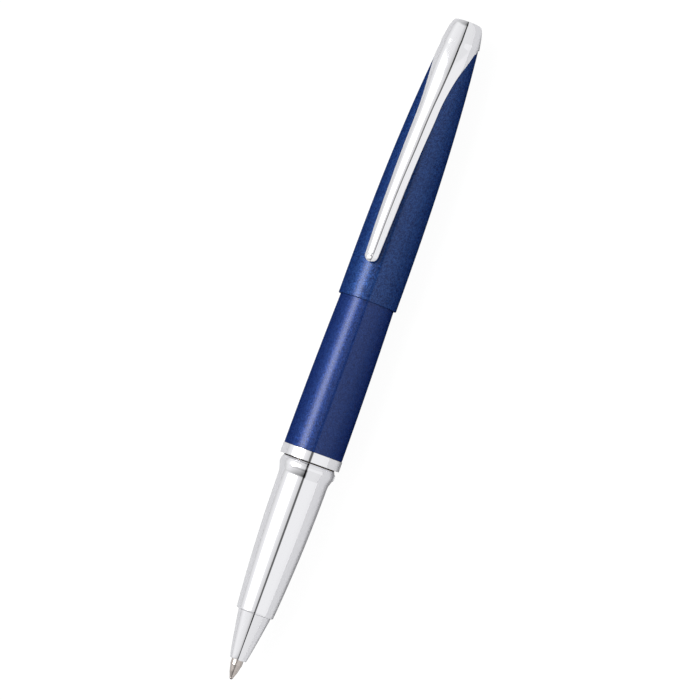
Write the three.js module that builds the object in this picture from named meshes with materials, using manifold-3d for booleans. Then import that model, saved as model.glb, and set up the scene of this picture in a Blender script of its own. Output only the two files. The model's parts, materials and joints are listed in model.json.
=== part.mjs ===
// Rollerball pen with its cap posted on the back of the barrel.
// Millimetres, +Z up. The pen lies along X, writing tip at -X, crown at +X, clip on top.
// Stations below are distances from the writing tip along the pen's axis.
import * as THREE from "three";
import { mergeVertices } from "three/addons/utils/BufferGeometryUtils.js";
import Module from "manifold-3d";

const wasm = await Module();
wasm.setup();

// ---- driving dimensions ------------------------------------------------------------------

// lengths along the pen
const POINT_REACH = 4.46; // writing point seen in front of the nose cone
const NOSE_LENGTH = 10.5;
const GRIP_LENGTH = 34.05;
const COLLAR_LENGTH = 4.1; // flared collar at the back of the grip
const RING_GAP = 0.24; // dark joint between collar and trim ring
const RING_LENGTH = 2.26;
const BARREL_LENGTH = 72.7; // trim ring to the end of the barrel
const END_DOME = 2.0;
const POSTED_DEPTH = 38.6; // how far the barrel goes into the cap
const CAP_LENGTH = 58.97; // lacquered tube only
const CROWN_LENGTH = 4.75;

// radii
const BARREL_RADIUS = 6.53;
const BARREL_REAR_RADIUS = 4.35;
const GRIP_FRONT_RADIUS = 4.1;
const GRIP_REAR_RADIUS = 5.5;
const NOSE_FRONT_RADIUS = 1.82;
const NOSE_REAR_RADIUS = 3.63;
const CAP_REAR_RADIUS = 4.05;
const CROWN_END_RADIUS = 2.98;
const REFILL_RADIUS = 3.0;
const HOLDER_RADIUS = 1.75;
const POINT_RADIUS = 1.3;
const POINT_TAIL_RADIUS = 0.9;
const BALL_RADIUS = 0.35;

// walls and steps
const BARREL_WALL = 0.45;
const CAP_WALL = 0.38;
const LINER_WALL = 0.45;
const INNER_CAP_WALL = 0.45;
const TUBE_WALL = 0.25;
const RING_PROUD = 0.12; // trim ring over the cap mouth
const CROWN_LIP = 0.2; // crown over the cap tube
const CROWN_EDGE = 0.12; // rounding at the end of the crown
const GRIP_EDGE = 0.15; // rounding at the front edge of the grip

// how fast the outlines curve: exponent of the distance along each one
const BARREL_CURVE = 1.9;
const CAP_CURVE = 2.52;
const GRIP_CURVE = 1.93;
const NOSE_CURVE = 0.9;
const CROWN_CONE = 0.64; // share of the crown that is a plain cone, the rest is its round end
const CROWN_CURVE = 7;

// clearances
const PRESS_GAP = 0.05; // between pieces that are pressed or glued together
const BUTT_GAP = 0.05; // between end faces
const REFILL_CLEARANCE = 0.12;
const CAP_CLEARANCE = 0.14; // cap mouth over the barrel
const COLLAR_CLEARANCE = 0.03; // collar inside the cap mouth
const CLUTCH_CLEARANCE = 0.06;
const CLIP_CLEARANCE = 0.08; // saddle of the clip over the cap
const CROWN_GAP = 0.15;
const BALL_CLEARANCE = 0.03;
const THREAD_CLEARANCE = 0.1;
const SCREW_CLEARANCE = 0.06;

// section thread
const PITCH = 1.25;
const THREAD_WALL = 0.97; // sleeve between its bore and the root of the thread
const THREAD_DEPTH = 0.45;
const THREAD_LENGTH = 5.0;
const THREAD_SPREAD = 0.06; // extra width of the nut's groove on each side, in pitches
const THREAD_START = 1.1; // from the front of the trim ring
const SLEEVE_INSIDE_GRIP = 7.2;
const SLEEVE_LEAD = 2.9; // plain end behind the thread
const SLEEVE_CLEARANCE = 0.3; // sleeve bore over the refill
const BUSH_LENGTH = 13.0;
const BUSH_CLEARANCE = 0.12; // bush inside the tapered barrel
const O_RING_WIRE = 0.38;

// refill
const NOSE_SHOULDER = 3.55; // from the nose's front face to the step that stops the refill
const NOSE_SPIGOT = 5.0; // part of the nose inside the grip
const SPIGOT_WALL = 1.25;
const POINT_CONE = 3.25;
const POINT_LIP = 0.4;
const POINT_TAIL = 5.0;
const INK_DUCT_RADIUS = 0.2;
const HOLDER_FLANGE = 1.0;
const HOLDER_PLUG = 4.5;
const TUBE_LENGTH = 86.5;
const INK_LENGTH = 66.0;
const FOLLOWER_LENGTH = 5.0;
const END_PLUG_DEPTH = 4.0;
const END_PLUG_HEAD = 0.8;
const REFILL_SPRING_LENGTH = 8.0;
const REFILL_SPRING_RADIUS = 2.2;
const REFILL_SPRING_WIRE = 0.22;
const REFILL_SPRING_TURNS = 6;
const SPRING_END_GAP = 0.1;

// snap domes on the collar
const DOME_COUNT = 3;
const DOME_RADIUS = 0.76;
const DOME_HEIGHT = 0.12;
const DOME_ROOT = 0.6;
const DOME_TURN = 9; // degrees from the clip's plane
const DOME_FROM_END = 1.35;
const SNAP_GROOVE_DEPTH = 0.1;
const SNAP_GROOVE_WIDTH = 1.7;

// cap inside
const CLUTCH_FROM_MOUTH = 11.4;
const CLUTCH_LENGTH = 6.0;
const INNER_CAP_GAP = 0.4;
const INNER_CAP_FLOOR = 0.8;
const NIB_ROOM = 0.9; // free space ahead of the writing tip when the cap is on the section
const BRIDGE_LENGTH = 3.0;
const BRIDGE_HOLE = 1.25;
const SPRING_POCKET_DEPTH = 1.7;
const SPRING_POCKET_RADIUS = 2.1;

// clip fastening
const SCREW_RADIUS = 0.9;
const SCREW_HEAD_RADIUS = 1.8;
const SCREW_HEAD_HEIGHT = 1.2;
const SCREW_SLOT = [0.5, 0.45]; // width, depth
const SCREW_IN_CROWN = 3.3;
const SCREW_BLIND_END = 0.4;
const WASHER_THICKNESS = 0.3;
const CLIP_SPRING_LENGTH = 3.0;
const CLIP_SPRING_RADIUS = 1.45;
const CLIP_SPRING_WIRE = 0.18;
const CLIP_SPRING_TURNS = 4;

// clip arm: distance forward of the crown seat, height above the cap, half width,
// and how far its edges stand off the cap
const CLIP_STATIONS = [
  [1.2, 0.26, 4.16, 0],
  [3.8, 0.37, 3.95, 0],
  [6.6, 0.46, 3.45, 0],
  [9, 0.54, 3.06, 0],
  [12, 0.62, 2.68, 0],
  [15, 0.73, 2.42, 0],
  [19, 0.95, 2.32, 0.1],
  [25, 1.38, 2.16, 0.6],
  [33, 1.93, 1.98, 1.0],
  [41, 2.16, 1.82, 1.15],
  [49.7, 2.05, 1.53, 1.1],
];
const CLIP_EDGE = 0.25; // height of the clip's side faces
const CLIP_TIP_DROP = 0.5;
const CLIP_FOOT_RADIUS = 1.0;
const CLIP_FOOT_GAP = 0.15;

const VISIBLE_SIDES = 32;
const HIDDEN_SIDES = 24;

// ---- stations along the pen --------------------------------------------------------------

const noseFront = POINT_REACH;
const gripFront = noseFront + NOSE_LENGTH;
const gripEnd = gripFront + GRIP_LENGTH;
const ringFront = gripEnd + RING_GAP;
const ringEnd = ringFront + RING_LENGTH;
const barrelEnd = ringEnd + BARREL_LENGTH;
const barrelShellEnd = barrelEnd - END_DOME;
const capMouth = barrelEnd - POSTED_DEPTH;
const capEnd = capMouth + CAP_LENGTH;
const crownSeat = capEnd + CROWN_GAP;
const penEnd = crownSeat + CROWN_LENGTH;

const refillStop = noseFront + NOSE_SHOULDER;
const holderFront = refillStop + REFILL_CLEARANCE;
const tubeFront = gripFront + NOSE_SPIGOT + BUTT_GAP + HOLDER_FLANGE + 0.4;
const tubeEnd = tubeFront + TUBE_LENGTH;
const refillEnd = tubeEnd + BUTT_GAP + END_PLUG_HEAD;
const springFront = refillEnd + SPRING_END_GAP;
const springEnd = springFront + REFILL_SPRING_LENGTH;

const threadFront = ringFront + THREAD_START;
const threadEnd = threadFront + THREAD_LENGTH;
const sleeveFront = gripEnd - SLEEVE_INSIDE_GRIP;
const sleeveEnd = threadEnd + SLEEVE_LEAD;

const clutchFront = capMouth + CLUTCH_FROM_MOUTH;
const clutchEnd = clutchFront + CLUTCH_LENGTH;
const innerCapFront = clutchEnd + INNER_CAP_GAP;
const innerCapFloor = capMouth + ringFront + NIB_ROOM; // the section goes in as far as the trim ring
const bridgeFront = capEnd - BRIDGE_LENGTH;
const clipSpringEnd = bridgeFront + SPRING_POCKET_DEPTH - SPRING_END_GAP;
const clipSpringFront = clipSpringEnd - CLIP_SPRING_LENGTH;
const washerFront = clipSpringFront - SPRING_END_GAP - WASHER_THICKNESS;
const screwHeadFront = washerFront - BUTT_GAP - SCREW_HEAD_HEIGHT;
const screwEnd = crownSeat + SCREW_IN_CROWN;

// ---- outlines ----------------------------------------------------------------------------

const share = (x, from, length) => THREE.MathUtils.clamp((x - from) / length, 0, 1);

function barrelRadius(x) {
  const s = share(x, ringEnd, BARREL_LENGTH);
  return BARREL_RADIUS - (BARREL_RADIUS - BARREL_REAR_RADIUS) * s ** BARREL_CURVE;
}

const capMouthBore = barrelRadius(capMouth) + CAP_CLEARANCE;
const capMouthRadius = capMouthBore + CAP_WALL;
const collarRadius = capMouthBore - COLLAR_CLEARANCE;
const ringRadius = Math.max(capMouthRadius, BARREL_RADIUS) + RING_PROUD;

function capRadius(x) {
  const s = share(x, capMouth, CAP_LENGTH);
  return capMouthRadius - (capMouthRadius - CAP_REAR_RADIUS) * s ** CAP_CURVE;
}

function gripRadius(x) {
  const s = share(x, gripFront, GRIP_LENGTH - COLLAR_LENGTH);
  return GRIP_REAR_RADIUS - (GRIP_REAR_RADIUS - GRIP_FRONT_RADIUS) * (1 - s) ** GRIP_CURVE;
}

function noseRadius(x) {
  const s = share(x, noseFront, NOSE_LENGTH);
  return NOSE_FRONT_RADIUS + (NOSE_REAR_RADIUS - NOSE_FRONT_RADIUS) * s ** NOSE_CURVE;
}

const crownLip = CAP_REAR_RADIUS + CROWN_LIP;

function crownRadius(x) {
  const s = share(x, crownSeat, CROWN_LENGTH);
  const drop = CROWN_CONE * s + (1 - CROWN_CONE) * s ** CROWN_CURVE;
  return crownLip - (crownLip - CROWN_END_RADIUS) * drop;
}

const sleeveBore = REFILL_RADIUS + SLEEVE_CLEARANCE;
const threadRoot = sleeveBore + THREAD_WALL;
const threadMajor = threadRoot + THREAD_DEPTH;

const barrelBore = (x) => barrelRadius(x) - BARREL_WALL;
const capBore = (x) => capRadius(x) - CAP_WALL;

// Points [x, radius] of an outline from one station to another.
function outline(radiusAt, from, to, steps) {
  const points = [];
  for (let i = 0; i <= steps; i++) {
    const x = THREE.MathUtils.lerp(from, to, i / steps);
    points.push([x, radiusAt(x)]);
  }
  return points;
}

// ---- solids ------------------------------------------------------------------------------

// A turned piece about the X axis. The points [x, radius] go once round its half section.
function turned(points, sides = HIDDEN_SIDES) {
  const next = (i) => points[(i + 1) % points.length];
  const area = points.reduce((sum, [x, r], i) => sum + x * next(i)[1] - next(i)[0] * r, 0);
  const axisEdge = points.findIndex(([, r], i) => r === 0 && next(i)[1] === 0);
  const loop = [...points.slice(axisEdge + 1), ...points.slice(0, axisEdge + 1)];
  if (axisEdge < 0) loop.push(loop[0]);
  if (area > 0) loop.reverse();
  const profile = loop.map(([x, r]) => new THREE.Vector2(r, x));
  return new THREE.LatheGeometry(profile, sides).rotateZ(-Math.PI / 2);
}

// A ring or tube: outside points forward, inside points back.
function sleeve(outside, inside, sides) {
  return turned([...outside, ...[...inside].reverse()], sides);
}

// A plain tube with a square section.
function tube(from, to, outer, inner, sides) {
  return sleeve([[from, outer], [to, outer]], [[from, inner], [to, inner]], sides);
}

function toSolid(geometry) {
  const bare = geometry.clone();
  bare.deleteAttribute("normal");
  bare.deleteAttribute("uv");
  const merged = mergeVertices(bare, 1e-4);
  return new wasm.Manifold(
    new wasm.Mesh({
      numProp: 3,
      vertProperties: new Float32Array(merged.attributes.position.array),
      triVerts: new Uint32Array(merged.index.array),
    }),
  );
}

function toGeometry(solid) {
  const mesh = solid.getMesh();
  const geometry = new THREE.BufferGeometry();
  geometry.setAttribute("position", new THREE.BufferAttribute(mesh.vertProperties, 3));
  geometry.setIndex(new THREE.BufferAttribute(mesh.triVerts, 1));
  geometry.computeVertexNormals();
  return geometry;
}

// Corners of one pitch of thread as [share of the pitch, radius].
function threadForm(grow, spread) {
  const crest = threadMajor + grow;
  const root = crest - THREAD_DEPTH;
  return [
    [0.1 - spread, root],
    [0.35 - spread, crest],
    [0.5 + spread, crest],
    [0.75 + spread, root],
  ];
}

// A right-hand threaded rod about X. Its ends are ramps, so it is made too long and cut.
function threadedRod(from, turns, form) {
  const sides = HIDDEN_SIDES;
  const rows = turns * form.length;
  const corners = [];
  for (let row = 0; row < rows; row++) {
    const [phase, radius] = form[row % form.length];
    const turn = Math.floor(row / form.length) + phase;
    for (let side = 0; side < sides; side++) {
      const angle = (side / sides) * 2 * Math.PI;
      const x = from + (turn + side / sides) * PITCH;
      corners.push(x, radius * Math.cos(angle), radius * Math.sin(angle));
    }
  }
  const at = (row, side) =>
    side < sides ? row * sides + side : (row + form.length) * sides + side - sides;
  const faces = [];
  for (let row = 0; row + 1 < rows; row++) {
    for (let side = 0; side < sides; side++) {
      const next = side + 1 < sides ? row + 1 : row + 1 + form.length;
      if (next >= rows) continue;
      faces.push(at(row, side), at(row, side + 1), at(row + 1, side));
      faces.push(at(row, side + 1), at(row + 1, side + 1), at(row + 1, side));
    }
  }
  const steps = form.map((_, i) => i + 1);
  const nearLoop = rampLoop(at, 0, sides, 0, [...steps].reverse());
  const farSteps = steps.map((step) => -step);
  const farLoop = rampLoop(at, rows - 1, sides, sides - 1, farSteps).reverse();
  closeRamp(corners, faces, nearLoop, from - PITCH);
  closeRamp(corners, faces, farLoop, from + (turns + 1) * PITCH);
  const geometry = new THREE.BufferGeometry();
  geometry.setAttribute("position", new THREE.Float32BufferAttribute(corners, 3));
  geometry.setIndex(faces);
  return geometry;
}

// The open edge of a threaded rod: once round the ramp, then along the step at one side.
function rampLoop(at, row, sides, stepSide, steps) {
  const loop = [];
  for (let side = 0; side < sides; side++) loop.push(at(row, side));
  for (const step of steps) loop.push(at(row + step, stepSide));
  return loop;
}

function closeRamp(corners, faces, loop, apexX) {
  const apex = corners.length / 3;
  corners.push(apexX, 0, 0);
  loop.forEach((corner, i) => faces.push(apex, loop[(i + 1) % loop.length], corner));
}

class Helix extends THREE.Curve {
  constructor(from, to, radius, turns) {
    super();
    Object.assign(this, { from, to, radius, turns });
  }
  getPoint(t, target = new THREE.Vector3()) {
    const angle = t * this.turns * 2 * Math.PI;
    const x = THREE.MathUtils.lerp(this.from, this.to, t);
    return target.set(x, this.radius * Math.cos(angle), this.radius * Math.sin(angle));
  }
}

function coilSpring(from, to, radius, wire, turns) {
  const section = new THREE.Shape();
  section.absarc(0, 0, wire, 0, 2 * Math.PI);
  return new THREE.ExtrudeGeometry(section, {
    extrudePath: new Helix(from + wire, to - wire, radius, turns),
    steps: turns * 10,
    curveSegments: 3,
    bevelEnabled: false,
  });
}

// ---- barrel ------------------------------------------------------------------------------

function barrelShell() {
  const front = ringEnd + BUTT_GAP;
  const outside = outline(barrelRadius, front, barrelShellEnd, 8);
  const inside = outline(barrelBore, front, barrelShellEnd, 8);
  return sleeve(outside, inside, VISIBLE_SIDES);
}

function barrelTrimRing() {
  const bevel = 0.08;
  const bore = bushRadius + PRESS_GAP;
  const outside = [
    [ringFront, ringRadius - bevel],
    [ringFront + bevel, ringRadius],
    [ringEnd - bevel, ringRadius],
    [ringEnd, ringRadius - bevel],
  ];
  return sleeve(outside, [[ringFront, bore], [ringEnd, bore]], VISIBLE_SIDES);
}

const bushFront = ringFront + BUTT_GAP;
const bushRadius = barrelBore(bushFront + BUSH_LENGTH) - BUSH_CLEARANCE;
const bushBore = threadMajor + THREAD_CLEARANCE;
const oRingRadius = threadRoot + PRESS_GAP + O_RING_WIRE;
const bushMouth = oRingRadius + O_RING_WIRE + PRESS_GAP;

// The nut that the front section screws into: a plain bush, cut by a threaded rod.
function barrelThreadBush() {
  const end = bushFront + BUSH_LENGTH;
  const seat = threadFront + THREAD_CLEARANCE;
  const nutEnd = threadEnd + 2 * THREAD_CLEARANCE;
  const minor = bushBore - THREAD_DEPTH;
  const inside = [
    [bushFront, bushMouth],
    [seat, bushMouth],
    [seat, minor],
    [nutEnd, minor],
    [nutEnd, bushBore + PRESS_GAP],
    [end, bushBore + PRESS_GAP],
  ];
  const body = toSolid(sleeve([[bushFront, bushRadius], [end, bushRadius]], inside));
  const turns = Math.ceil((nutEnd - seat) / PITCH) + 4;
  const rod = threadedRod(threadOrigin, turns, threadForm(THREAD_CLEARANCE, THREAD_SPREAD));
  return toGeometry(body.subtract(toSolid(rod)));
}

// Both threads are drawn from one origin, so that they mesh.
const threadOrigin = threadFront - 2 * PITCH;

function barrelEndPlug() {
  const spigot = barrelBore(barrelShellEnd) - PRESS_GAP;
  const face = springEnd + SPRING_END_GAP;
  const dome = barrelShellEnd + BUTT_GAP;
  const flat = BARREL_REAR_RADIUS - 1.2;
  return turned([
    [face, 0],
    [face, spigot - 0.3],
    [face + 0.3, spigot],
    [dome, spigot],
    [dome, barrelRadius(barrelShellEnd)],
    [barrelEnd - 1.1, BARREL_REAR_RADIUS - 0.15],
    [barrelEnd - 0.35, BARREL_REAR_RADIUS - 0.6],
    [barrelEnd, flat],
    [barrelEnd, 0],
  ]);
}

function refillSpring() {
  const [radius, wire] = [REFILL_SPRING_RADIUS, REFILL_SPRING_WIRE];
  return coilSpring(springFront, springEnd, radius, wire, REFILL_SPRING_TURNS);
}

// ---- refill ------------------------------------------------------------------------------

const pointTailEnd = holderFront + POINT_TAIL;

function refillPoint() {
  const socket = BALL_RADIUS + BALL_CLEARANCE;
  const lipX = BALL_RADIUS - 0.1;
  const socketAt = (angle) => [
    BALL_RADIUS + socket * Math.cos(angle),
    socket * Math.sin(angle),
  ];
  const first = Math.acos((lipX - BALL_RADIUS) / socket);
  const last = Math.asin(INK_DUCT_RADIUS / socket);
  const cup = [0, 1, 2, 3, 4].map((i) => socketAt(THREE.MathUtils.lerp(first, last, i / 4)));
  const outside = [
    [lipX, POINT_LIP],
    [0.5, POINT_LIP + 0.06],
    [1.7, 0.88],
    [POINT_CONE - 0.15, POINT_RADIUS - 0.11],
    [POINT_CONE, POINT_RADIUS],
    [holderFront - BUTT_GAP, POINT_RADIUS],
    [holderFront - BUTT_GAP, POINT_TAIL_RADIUS],
    [pointTailEnd, POINT_TAIL_RADIUS],
  ];
  return sleeve(outside, [...cup, [pointTailEnd, INK_DUCT_RADIUS]]);
}

function refillBall() {
  return new THREE.SphereGeometry(BALL_RADIUS, 12, 8).translate(BALL_RADIUS, 0, 0);
}

function refillHolder() {
  const flange = tubeFront - BUTT_GAP - HOLDER_FLANGE;
  const plugEnd = tubeFront + HOLDER_PLUG;
  const plug = REFILL_RADIUS - TUBE_WALL - PRESS_GAP;
  const bore = POINT_TAIL_RADIUS + PRESS_GAP;
  const outside = [
    [holderFront, HOLDER_RADIUS - 0.2],
    [holderFront + 0.3, HOLDER_RADIUS],
    [flange, HOLDER_RADIUS],
    [flange, REFILL_RADIUS],
    [tubeFront - BUTT_GAP, REFILL_RADIUS],
    [tubeFront - BUTT_GAP, plug],
    [plugEnd, plug],
  ];
  return sleeve(outside, [[holderFront, bore], [plugEnd, bore]]);
}

const tubeBore = REFILL_RADIUS - TUBE_WALL;
const inkFront = tubeFront + HOLDER_PLUG + BUTT_GAP;
const inkEnd = inkFront + INK_LENGTH;

function refillTube() {
  return tube(tubeFront, tubeEnd, REFILL_RADIUS, tubeBore);
}

function inkCharge() {
  const radius = tubeBore - PRESS_GAP;
  return turned([[inkFront, 0], [inkFront, radius], [inkEnd, radius], [inkEnd, 0]]);
}

function inkFollower() {
  const radius = tubeBore - PRESS_GAP;
  const from = inkEnd + BUTT_GAP;
  const to = from + FOLLOWER_LENGTH;
  return turned([[from, 0], [from, radius], [to, radius], [to - 0.6, 0]]);
}

function refillEndPlug() {
  const radius = tubeBore - PRESS_GAP;
  const vent = 0.4;
  const outside = [
    [tubeEnd - END_PLUG_DEPTH, radius - 0.2],
    [tubeEnd - END_PLUG_DEPTH + 0.4, radius],
    [tubeEnd + BUTT_GAP, radius],
    [tubeEnd + BUTT_GAP, REFILL_RADIUS],
    [refillEnd, REFILL_RADIUS],
  ];
  return sleeve(outside, [[tubeEnd - END_PLUG_DEPTH, vent], [refillEnd, vent]]);
}

// ---- front section -----------------------------------------------------------------------

const linerBore = REFILL_RADIUS + REFILL_CLEARANCE;
const gripBore = linerBore + LINER_WALL + PRESS_GAP;
const chamberRadius = HOLDER_RADIUS + REFILL_CLEARANCE;
const spigotRadius = chamberRadius + SPIGOT_WALL;
const spigotEnd = gripFront + NOSE_SPIGOT;

function noseCone() {
  const bore = POINT_RADIUS + REFILL_CLEARANCE;
  const outside = [
    [noseFront, NOSE_FRONT_RADIUS - 0.12],
    ...outline(noseRadius, noseFront + 0.12, gripFront - BUTT_GAP, 5),
    [gripFront - BUTT_GAP, spigotRadius],
    [spigotEnd, spigotRadius],
  ];
  const inside = [
    [noseFront, bore],
    [refillStop, bore],
    [refillStop, chamberRadius],
    [spigotEnd, chamberRadius],
  ];
  return sleeve(outside, inside, VISIBLE_SIDES);
}

function collarOutline() {
  const start = gripEnd - COLLAR_LENGTH;
  const bulge = gripEnd - DOME_FROM_END;
  const curve = new THREE.SplineCurve([
    new THREE.Vector2(start, GRIP_REAR_RADIUS),
    new THREE.Vector2(start + 1.1, GRIP_REAR_RADIUS + 0.15),
    new THREE.Vector2(bulge - 0.7, collarRadius - 0.09),
    new THREE.Vector2(bulge, collarRadius),
    new THREE.Vector2(bulge + 0.8, collarRadius - 0.15),
    new THREE.Vector2(gripEnd, collarRadius - 0.4),
  ]);
  return curve.getPoints(10).map((p) => [p.x, p.y]);
}

function gripShell() {
  const step = sleeveFront - BUTT_GAP;
  const outside = [
    [gripFront, GRIP_FRONT_RADIUS - GRIP_EDGE],
    ...outline(gripRadius, gripFront + 0.3, gripEnd - COLLAR_LENGTH - 1, 7),
    ...collarOutline(),
  ];
  const inside = [
    [gripFront, spigotRadius + PRESS_GAP],
    [spigotEnd + BUTT_GAP, spigotRadius + PRESS_GAP],
    [spigotEnd + BUTT_GAP, gripBore],
    [step, gripBore],
    [step, threadMajor + PRESS_GAP],
    [gripEnd, threadMajor + PRESS_GAP],
  ];
  let shell = toSolid(sleeve(outside, inside, VISIBLE_SIDES));
  for (let i = 0; i < DOME_COUNT; i++) {
    const angle = DOME_TURN + (i * 360) / DOME_COUNT;
    shell = shell.add(toSolid(snapDome(THREE.MathUtils.degToRad(angle))));
  }
  return toGeometry(shell);
}

// A low round boss on the collar. Its axis points away from the pen at an angle from +Z.
function snapDome(angle) {
  const rise = (r) => DOME_HEIGHT * (1 - (r / DOME_RADIUS) ** 2);
  const profile = [[0, -DOME_ROOT], [DOME_RADIUS, -DOME_ROOT]];
  for (let i = 0; i <= 3; i++) {
    const r = DOME_RADIUS * (1 - i / 3);
    profile.push([r, rise(r)]);
  }
  const points = profile.map(([r, y]) => new THREE.Vector2(r, y));
  return new THREE.LatheGeometry(points, 12)
    .rotateX(Math.PI / 2)
    .translate(gripEnd - DOME_FROM_END, 0, collarRadius)
    .rotateX(-angle);
}

// The male thread: a plain sleeve joined to the part of a threaded rod in front of its lead.
function sectionThreadSleeve() {
  const plain = [
    [sleeveFront, threadMajor],
    [gripEnd - BUTT_GAP, threadMajor],
    [gripEnd, threadRoot],
    [sleeveEnd - 0.4, threadRoot],
    [sleeveEnd, threadRoot - 0.3],
  ];
  const body = toSolid(sleeve(plain, [[sleeveFront, sleeveBore], [sleeveEnd, sleeveBore]]));
  const turns = Math.ceil(THREAD_LENGTH / PITCH) + 4;
  const rod = toSolid(threadedRod(threadOrigin, turns, threadForm(0, 0)));
  const [windowBore, windowRadius] = [threadRoot - THREAD_WALL / 2, threadMajor + 1];
  const window = toSolid(tube(threadFront, threadEnd, windowRadius, windowBore));
  return toGeometry(body.add(rod.intersect(window)));
}

function sectionORing() {
  return new THREE.TorusGeometry(oRingRadius, O_RING_WIRE, 8, HIDDEN_SIDES)
    .rotateY(Math.PI / 2)
    .translate(gripEnd + BUTT_GAP + O_RING_WIRE, 0, 0);
}

function gripLiner() {
  const front = tubeFront - BUTT_GAP;
  return tube(front, sleeveFront - 2 * BUTT_GAP, linerBore + LINER_WALL, linerBore);
}

// ---- cap ---------------------------------------------------------------------------------

function capShell() {
  const groove = capMouth + gripEnd - (gripEnd - DOME_FROM_END) + RING_GAP;
  const half = SNAP_GROOVE_WIDTH / 2;
  const inside = [
    [capMouth, capBore(capMouth)],
    [groove - half, capBore(groove)],
    [groove - half * 0.6, capBore(groove) + SNAP_GROOVE_DEPTH],
    [groove + half * 0.6, capBore(groove) + SNAP_GROOVE_DEPTH],
    [groove + half, capBore(groove)],
    ...outline(capBore, clutchFront, capEnd, 6),
  ];
  return sleeve(outline(capRadius, capMouth, capEnd, 10), inside, VISIBLE_SIDES);
}

function capClutchRing() {
  const outer = capBore(clutchEnd) - CLUTCH_CLEARANCE;
  const grip = (x) => barrelRadius(x) + CLUTCH_CLEARANCE;
  return sleeve(
    [[clutchFront, outer], [clutchEnd, outer]],
    outline(grip, clutchFront, clutchEnd, 3),
    VISIBLE_SIDES,
  );
}

function innerCap() {
  const outer = (x) => capBore(x) - CLUTCH_CLEARANCE;
  const inner = (x) => outer(x) - INNER_CAP_WALL;
  const end = innerCapFloor + INNER_CAP_FLOOR;
  const inside = outline(inner, innerCapFront, innerCapFloor, 6);
  return sleeve(
    [...outline(outer, innerCapFront, end, 6), [end, 0]],
    [...inside, [innerCapFloor, 0]],
  );
}

function capBridge() {
  const outer = (x) => capBore(x) - PRESS_GAP;
  const pocket = bridgeFront + SPRING_POCKET_DEPTH;
  return sleeve(outline(outer, bridgeFront, capEnd, 2), [
    [bridgeFront, SPRING_POCKET_RADIUS],
    [pocket, SPRING_POCKET_RADIUS],
    [pocket, BRIDGE_HOLE],
    [capEnd, BRIDGE_HOLE],
  ]);
}

function clipSpring() {
  const [radius, wire] = [CLIP_SPRING_RADIUS, CLIP_SPRING_WIRE];
  return coilSpring(clipSpringFront, clipSpringEnd, radius, wire, CLIP_SPRING_TURNS);
}

// ---- clip and crown ----------------------------------------------------------------------

function crown() {
  return turned(
    [
      [crownSeat, 0],
      ...outline(crownRadius, crownSeat, penEnd - CROWN_EDGE, 8),
      [penEnd, CROWN_END_RADIUS - CROWN_EDGE],
      [penEnd, 0],
    ],
    VISIBLE_SIDES,
  );
}

function screwHole() {
  const from = crownSeat - 1;
  const to = screwEnd + SCREW_BLIND_END;
  const radius = SCREW_RADIUS + SCREW_CLEARANCE;
  return turned([[from, 0], [from, radius], [to, radius], [to, 0]]);
}

// Height of a circle of radius r at a distance y from its centre line.
const heightAt = (r, y) => Math.sqrt(Math.max(0, r * r - y * y));

// One cross-section of the clip: an arc over the top, short sides and a flat underside.
function clipSection({ x, top, half, base }) {
  const steps = 8;
  const edge = base + CLIP_EDGE;
  const sag = top - edge;
  const radius = (half * half + sag * sag) / (2 * sag);
  const centre = top - radius;
  const reach = Math.atan2(half, edge - centre);
  const points = [[x, half, base], [x, -half, base]];
  for (let i = 0; i <= steps; i++) {
    const angle = THREE.MathUtils.lerp(-reach, reach, i / steps);
    points.push([x, radius * Math.sin(angle), centre + radius * Math.cos(angle)]);
  }
  return points;
}

// Sections from inside the crown to the rounded tip of the clip.
function clipSections() {
  const start = crownSeat + 0.6;
  const inCrown = crownRadius(start) - 0.03;
  const seatRadius = crownRadius(crownSeat) - 0.01;
  const sections = [
    { x: start, top: inCrown, half: inCrown, base: -CLIP_EDGE },
    { x: crownSeat, top: seatRadius, half: seatRadius, base: -CLIP_EDGE },
  ];
  const middle = CLIP_STATIONS.map((s) => new THREE.Vector3(s[0], s[1], s[2]));
  middle.unshift(new THREE.Vector3(0, crownLip - CAP_REAR_RADIUS, seatRadius));
  const shape = new THREE.CatmullRomCurve3(middle, false, "catmullrom");
  const lifts = [0, ...CLIP_STATIONS.map((s) => s[3])];
  const steps = 2 * CLIP_STATIONS.length;
  for (let i = 1; i <= steps; i++) {
    const t = i / steps;
    const p = shape.getPoint(t);
    const place = t * (lifts.length - 1);
    const before = Math.min(Math.floor(place), lifts.length - 2);
    const lift = THREE.MathUtils.lerp(lifts[before], lifts[before + 1], place - before);
    const x = crownSeat - p.x;
    const top = capRadius(x) + p.y;
    sections.push({ x, top, half: p.z, base: heightAt(capRadius(x), p.z) + lift });
  }
  const last = sections[sections.length - 1];
  for (const angle of [25, 50, 70, 84]) {
    const turn = THREE.MathUtils.degToRad(angle);
    const drop = CLIP_TIP_DROP * (1 - Math.cos(turn));
    sections.push({
      x: last.x - last.half * Math.sin(turn),
      top: last.top - drop,
      half: last.half * Math.cos(turn),
      base: last.base,
    });
  }
  return sections;
}

// Skins a row of sections that all have the same number of points, and closes both ends.
function skin(rings) {
  const count = rings[0].length;
  const positions = rings.flat(2);
  const faces = [];
  for (let ring = 0; ring + 1 < rings.length; ring++) {
    for (let i = 0; i < count; i++) {
      const a = ring * count + i;
      const b = ring * count + ((i + 1) % count);
      faces.push(a, b, a + count, b, b + count, a + count);
    }
  }
  const far = (rings.length - 1) * count;
  for (let i = 1; i + 1 < count; i++) {
    faces.push(0, i + 1, i);
    faces.push(far, far + i, far + i + 1);
  }
  const geometry = new THREE.BufferGeometry();
  geometry.setAttribute("position", new THREE.Float32BufferAttribute(positions, 3));
  geometry.setIndex(faces);
  return geometry;
}

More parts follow.
